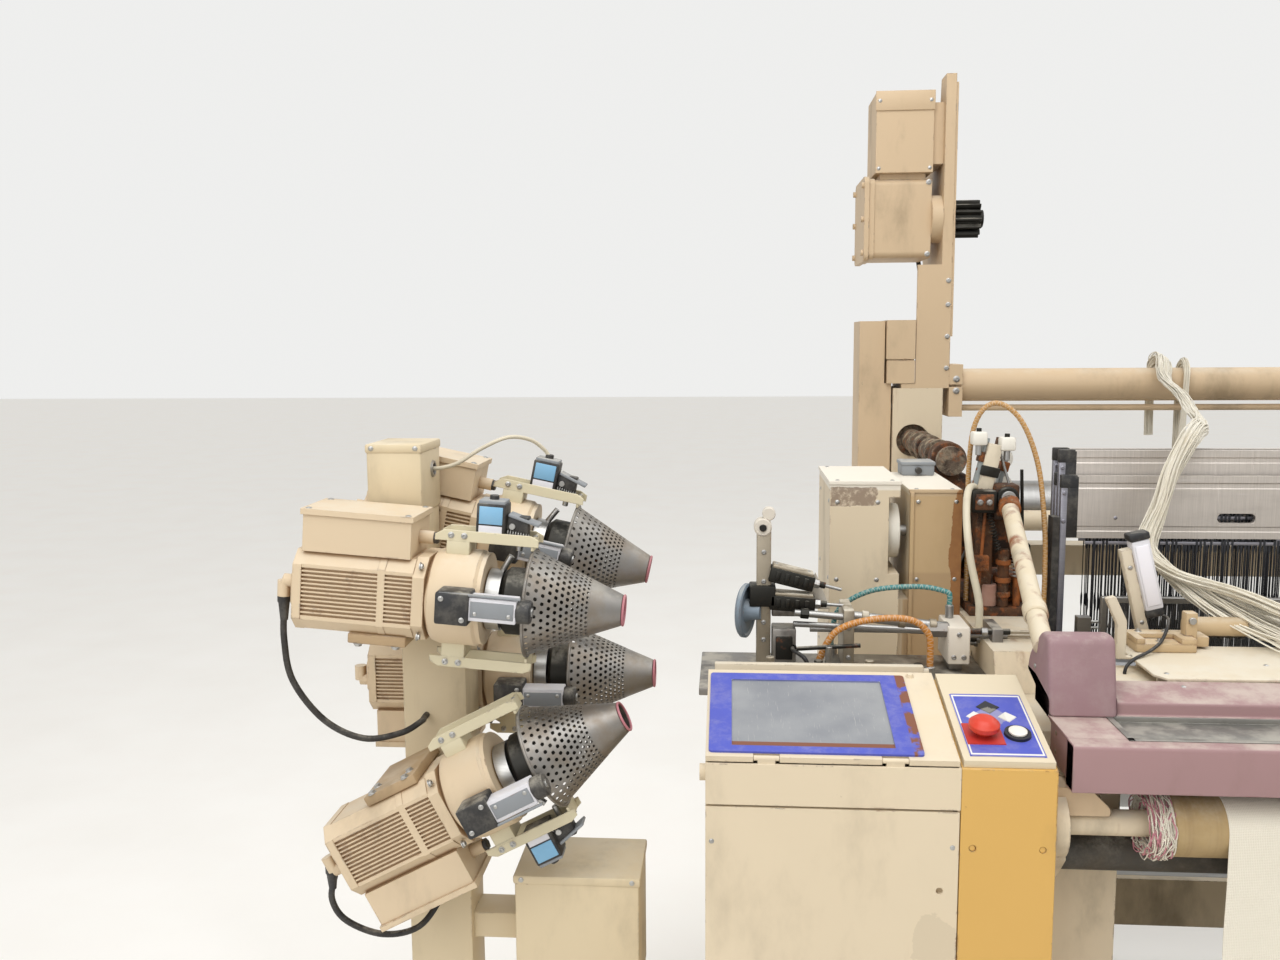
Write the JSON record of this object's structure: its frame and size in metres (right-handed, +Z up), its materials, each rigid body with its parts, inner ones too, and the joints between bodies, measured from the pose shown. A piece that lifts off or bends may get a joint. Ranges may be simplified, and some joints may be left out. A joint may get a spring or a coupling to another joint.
{
  "type": "power loom",
  "caption": "Air-jet power loom with heald frames, reed, rolls, sloping control console and a separate stand of weft feeders.",
  "frame": {"origin": "on the floor, at the middle of the centre leg's foot pad, halfway along the reed", "axes": "+X along the loom width to the operator's right, +Y to the back of the loom, +Z up"},
  "size_m": [3.4375, 2.027, 2.205],
  "materials": {
    "cream_paint": "semi-gloss cream enamel, yellowed and chipped",
    "beige_paint": "beige enamel, dirty and rusted at the edges",
    "mauve_paint": "mauve enamel, scuffed",
    "ochre_paint": "ochre enamel, worn",
    "grey_paint": "grey enamel under dust",
    "mauve_plastic": "satin",
    "blue_plastic": "printed film",
    "red_plastic": "moulded",
    "white_plastic": "moulded, dusty",
    "dark_plastic": "moulded, greasy",
    "hose_plastic": "clear amber tubing",
    "rusty_iron": "brown with rust and lint",
    "cast_iron": "as cast",
    "dark_steel": "oily",
    "bright_steel": "bright with stains",
    "bright_aluminium": "anodised, dull",
    "roll_rubber": "grainy olive covering",
    "rubber": "matt",
    "white_cloth": "raw white cotton"
  },
  "bodies": {
    "loom": {"left_side_frame": "cream_paint", "right_side_frame": "cream_paint", "cross_girders": "cream_paint", "levelling_feet": "dark_steel", "top_pipe": "beige_paint", "front_cover": "mauve_paint", "cover_end_pads": "mauve_plastic", "cover_tray": "grey_paint", "cloth_plate": "cream_paint", "temples": "rusty_iron", "console_cabinet": "cream_paint", "switch_column": "ochre_paint", "switch_panel": "blue_plastic", "shed_drive_box": "cream_paint", "selvedge_unit": "rusty_iron", "main_motor": "beige_paint", "drive_belt": "rubber", "tandem_nozzles": "bright_steel", "air_hoses": "hose_plastic", "cables": "rubber", "heald_guides": "dark_plastic", "letoff_motors": "cream_paint", "upper_stands": "beige_paint", "rear_boxes": "beige_paint", "cloth_web": "white_cloth", "warp_hank": "white_cloth", "detector_box": "white_plastic", "feeder_stand": "cream_paint", "feeder_housings": "beige_paint", "feeder_drums": "dark_steel", "feeder_cones": "bright_steel", "feeder_solenoids": "dark_plastic"},
    "console_lid_body": {"console_lid": "cream_paint", "display_panel": "blue_plastic"},
    "console_door_body": {"console_door": "cream_paint"},
    "estop": {"estop_button": "red_plastic"},
    "start": {"start_button": "white_plastic"},
    "take_up": {"take_up_roll": "roll_rubber"},
    "press": {"press_roll": "rubber"},
    "cloth_roll": {"cloth_beam": "white_cloth"},
    "sley_body": {"sley": "bright_aluminium", "reed": "bright_steel", "main_nozzles": "bright_steel"},
    "main_shaft_body": {"main_shaft": "bright_steel"},
    "motor_pulley_body": {"motor_pulley": "cast_iron"},
    "heald_1": {"heald_frame_1": "bright_aluminium"},
    "heald_2": {"heald_frame_2": "bright_aluminium"},
    "heald_3": {"heald_frame_3": "bright_aluminium"},
    "heald_4": {"heald_frame_4": "bright_aluminium"},
    "warp_beam_body": {"warp_beam": "bright_aluminium"},
    "letoff_pinion_body": {"letoff_pinion": "dark_steel"},
    "upper_pinion_body": {"upper_pinion": "dark_steel"},
    "handwheel_body": {"handwheel": "white_plastic"},
    "leno_drive_body": {"leno_drive": "dark_steel"},
    "back_rest": {"back_rest_arms": "cream_paint"},
    "back_rest_roller": {"back_rest_roll": "bright_steel"},
    "winder_1": {"feeder_winder_1": "bright_steel"},
    "winder_2": {"feeder_winder_2": "bright_steel"},
    "winder_3": {"feeder_winder_3": "bright_steel"},
    "winder_4": {"feeder_winder_4": "bright_steel"}
  },
  "joints": [
    {"name": "lid_hinge", "type": "hinge", "parent": "loom", "child": "console_lid_body", "pos_m": [-1.4855, -0.67218, 1.01704], "axis": [1, 0, 0], "range_deg": [0, 85]},
    {"name": "door_hinge", "type": "hinge", "parent": "loom", "child": "console_door_body", "pos_m": [-1.638, -0.667, 0.5], "axis": [0, 0, -1], "range_deg": [0, 110]},
    {"name": "estop_press", "type": "slide", "parent": "loom", "child": "estop", "axis": [0, 0.2334, -0.9724], "range_m": [0, 0.006], "stiffness_N_per_m": 600},
    {"name": "start_press", "type": "slide", "parent": "loom", "child": "start", "axis": [0, 0.2334, -0.9724], "range_m": [0, 0.004], "stiffness_N_per_m": 500},
    {"name": "take_up_turn", "type": "hinge", "parent": "loom", "child": "take_up", "pos_m": [0, -0.62, 0.92], "axis": [1, 0, 0], "continuous": true},
    {"name": "press_turn", "type": "hinge", "parent": "loom", "child": "press", "pos_m": [0, -0.57456, 0.86389], "axis": [1, 0, 0], "continuous": true},
    {"name": "cloth_beam_turn", "type": "hinge", "parent": "loom", "child": "cloth_roll", "pos_m": [0, -0.566, 0.33], "axis": [1, 0, 0], "continuous": true},
    {"name": "sley_swing", "type": "hinge", "parent": "loom", "child": "sley_body", "pos_m": [0, -0.11, 0.64], "axis": [1, 0, 0], "range_deg": [0, 12]},
    {"name": "main_shaft_turn", "type": "hinge", "parent": "loom", "child": "main_shaft_body", "pos_m": [0, -0.25, 0.42], "axis": [1, 0, 0], "continuous": true},
    {"name": "motor_turn", "type": "hinge", "parent": "loom", "child": "motor_pulley_body", "pos_m": [-1.271, 0.06, 0.3], "axis": [1, 0, 0], "continuous": true},
    {"name": "heald_lift_1", "type": "slide", "parent": "loom", "child": "heald_1", "axis": [0, 0, 1], "range_m": [0, 0.043]},
    {"name": "heald_lift_2", "type": "slide", "parent": "loom", "child": "heald_2", "axis": [0, 0, 1], "range_m": [-0.043, 0]},
    {"name": "heald_lift_3", "type": "slide", "parent": "loom", "child": "heald_3", "axis": [0, 0, 1], "range_m": [0, 0.043]},
    {"name": "heald_lift_4", "type": "slide", "parent": "loom", "child": "heald_4", "axis": [0, 0, 1], "range_m": [-0.043, 0]},
    {"name": "warp_beam_turn", "type": "hinge", "parent": "loom", "child": "warp_beam_body", "pos_m": [0, 0.7, 0.48], "axis": [1, 0, 0], "continuous": true},
    {"name": "letoff_turn", "type": "hinge", "parent": "loom", "child": "letoff_pinion_body", "pos_m": [-1.1, 0.39516, 0.36905], "axis": [1, 0, 0], "continuous": true},
    {"name": "upper_letoff_turn", "type": "hinge", "parent": "loom", "child": "upper_pinion_body", "pos_m": [-1.06, 0.905, 1.857], "axis": [1, 0, 0], "continuous": true},
    {"name": "handwheel_turn", "type": "hinge", "parent": "loom", "child": "handwheel_body", "pos_m": [-1.312, 0.014, 1.201], "axis": [1, 0, 0], "continuous": true},
    {"name": "leno_turn", "type": "hinge", "parent": "loom", "child": "leno_drive_body", "pos_m": [-1.148, 0.5, 1.295], "axis": [0, 1, 0], "continuous": true},
    {"name": "back_rest_swing", "type": "hinge", "parent": "loom", "child": "back_rest", "pos_m": [0, 0.7, 1.112], "axis": [1, 0, 0], "range_deg": [-5, 5]},
    {"name": "back_rest_turn", "type": "hinge", "parent": "back_rest", "child": "back_rest_roller", "pos_m": [0, 0.812, 1.136], "axis": [1, 0, 0], "continuous": true},
    {"name": "winder_turn_1", "type": "hinge", "parent": "loom", "child": "winder_1", "pos_m": [-1.759, -0.585, 1.188], "axis": [0.9969, 0, -0.0785], "continuous": true},
    {"name": "winder_turn_2", "type": "hinge", "parent": "loom", "child": "winder_2", "pos_m": [-1.741, -0.36, 1.199], "axis": [0.9781, 0, -0.2079], "continuous": true},
    {"name": "winder_turn_3", "type": "hinge", "parent": "loom", "child": "winder_3", "pos_m": [-1.733, -0.36, 1.033], "axis": [1, 0, 0], "continuous": true},
    {"name": "winder_turn_4", "type": "hinge", "parent": "loom", "child": "winder_4", "pos_m": [-1.76, -0.585, 1.04], "axis": [0.887, 0, 0.4617], "continuous": true}
  ],
  "couplings": [
    {"joint": "press_turn", "follows": "take_up_turn", "ratio": -1.4138},
    {"joint": "motor_turn", "follows": "main_shaft_turn", "ratio": 1.8333},
    {"joint": "heald_lift_2", "follows": "heald_lift_1", "ratio": -1},
    {"joint": "heald_lift_3", "follows": "heald_lift_1", "ratio": 1},
    {"joint": "heald_lift_4", "follows": "heald_lift_1", "ratio": -1},
    {"joint": "letoff_turn", "follows": "warp_beam_turn", "ratio": -5}
  ]
}
